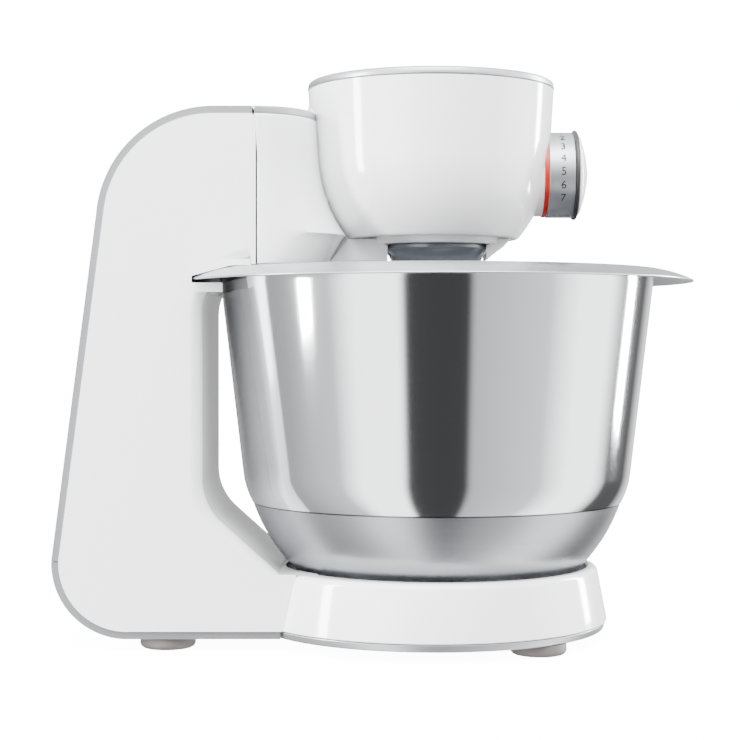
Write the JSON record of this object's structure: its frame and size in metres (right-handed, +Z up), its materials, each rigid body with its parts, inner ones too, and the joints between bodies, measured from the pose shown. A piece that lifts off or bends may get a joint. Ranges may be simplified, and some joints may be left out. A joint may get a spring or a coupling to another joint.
{
  "type": "stand mixer",
  "caption": "Compact stand mixer: tilting motor arm over a round steel bowl, planetary tool drive, speed dial on the nose and a lidded upper drive.",
  "frame": {"origin": "on the surface the feet stand on, midway along the length, in the middle of the width", "axes": "+Z up, +X from the column towards the dial, +Y towards the side that carries the arm lock button"},
  "size_m": [0.318, 0.26, 0.282],
  "materials": {
    "white_shell": "gloss",
    "silver_trim": "satin",
    "trim_silver_dark": "satin",
    "bowl_steel": "polished wall, brushed foot and rim",
    "rubber": "matt",
    "black_rubber": "matt",
    "grey_plastic": "gloss",
    "dark_plastic": "matt",
    "red_plastic": "gloss",
    "inner_plastic": "matt",
    "frame_steel": "plain",
    "gear_plastic": "matt",
    "gear_steel": "machined",
    "bronze_bush": "machined",
    "iron_core": "plain",
    "copper_drum": "machined",
    "alloy": "cast"
  },
  "bodies": {
    "stand": {"column_side_right": "white_shell", "column_side_left": "white_shell", "spine_cover": "silver_trim", "heel_cover": "silver_trim", "cable_gland": "black_rubber", "throat_cover": "white_shell", "brim_slot": "white_shell", "frame_plate_right": "frame_steel", "frame_plate_left": "frame_steel", "hinge_bushes": "bronze_bush", "hinge_pin": "frame_steel", "frame_spacers": "frame_steel", "base_housing": "white_shell", "base_trim": "trim_silver_dark", "bottom_plates": "dark_plastic", "bowl_seat": "rubber", "rubber_feet": "rubber", "plate_screws": "frame_steel"},
    "bowl_body": {"bowl": "bowl_steel"},
    "arm": {"head_housing": "white_shell", "arm_strip": "silver_trim", "head_bottom": "white_shell", "hub_collar": "grey_plastic", "hinge_arm": "alloy", "gearbox_tray": "inner_plastic", "gearbox_deck": "inner_plastic", "carrier_bush": "bronze_bush", "layshaft_bushes": "bronze_bush", "hub_bush": "bronze_bush", "motor_posts": "frame_steel", "lower_bracket": "frame_steel", "upper_bracket": "frame_steel", "motor_bearings": "bronze_bush", "stator": "iron_core", "carbon_brushes": "dark_plastic", "top_deck": "inner_plastic", "control_board": "dark_plastic", "ring_gear": "gear_steel", "speed_switch": "dark_plastic", "dial_boss": "white_shell", "red_ring": "red_plastic"},
    "mixing_hub": {"hub_body": "grey_plastic", "carrier_gear": "gear_plastic", "carrier_screws": "frame_steel"},
    "tool_drive": {"tool_spindle": "gear_steel", "planet_gear": "gear_steel"},
    "layshaft_body": {"layshaft": "gear_steel", "layshaft_wheel": "gear_plastic"},
    "motor_rotor": {"motor_shaft": "frame_steel", "rotor_core": "iron_core", "commutator_drum": "copper_drum", "cooling_fan": "dark_plastic", "blender_coupling": "dark_plastic"},
    "speed_dial": {"dial_body": "silver_trim", "dial_grip": "black_rubber", "dial_cap": "white_shell", "dial_shaft_rod": "frame_steel"},
    "arm_lock": {"lock_button": "white_shell", "lock_bolt": "frame_steel"},
    "drive_cover": {"top_cover": "silver_trim"}
  },
  "joints": [
    {"name": "arm_tilt", "type": "hinge", "parent": "stand", "child": "arm", "pos_m": [-0.09, 0, 0.2535], "axis": [0, -1, 0], "range_deg": [0, 38]},
    {"name": "hub_spin", "type": "hinge", "parent": "arm", "child": "mixing_hub", "pos_m": [0.029, 0, 0.2], "axis": [0, 0, 1], "continuous": true},
    {"name": "tool_spin", "type": "hinge", "parent": "mixing_hub", "child": "tool_drive", "pos_m": [0.0415, 0, 0.2], "axis": [0, 0, 1], "continuous": true},
    {"name": "layshaft_spin", "type": "hinge", "parent": "arm", "child": "layshaft_body", "pos_m": [-0.00475, 0, 0.22], "axis": [0, 0, 1], "continuous": true},
    {"name": "motor_spin", "type": "hinge", "parent": "arm", "child": "motor_rotor", "pos_m": [0.02625, 0, 0.24], "axis": [0, 0, 1], "continuous": true},
    {"name": "dial_turn", "type": "hinge", "parent": "arm", "child": "speed_dial", "pos_m": [0.09, 0, 0.235], "axis": [1, 0, 0], "range_deg": [-30, 210]},
    {"name": "lock_press", "type": "slide", "parent": "stand", "child": "arm_lock", "axis": [0, -1, 0], "range_m": [0, 0.004], "stiffness_N_per_m": 400},
    {"name": "cover_lift", "type": "slide", "parent": "arm", "child": "drive_cover", "axis": [0, 0, 1], "range_m": [0, 0.03]},
    {"name": "bowl_twist", "type": "hinge", "parent": "stand", "child": "bowl_body", "pos_m": [0.029, 0, 0.03], "axis": [0, 0, 1], "range_deg": [0, 20]}
  ],
  "couplings": [
    {"joint": "tool_spin", "follows": "hub_spin", "ratio": -2.25},
    {"joint": "layshaft_spin", "follows": "hub_spin", "ratio": -2.8571},
    {"joint": "motor_spin", "follows": "hub_spin", "ratio": 11.905}
  ]
}
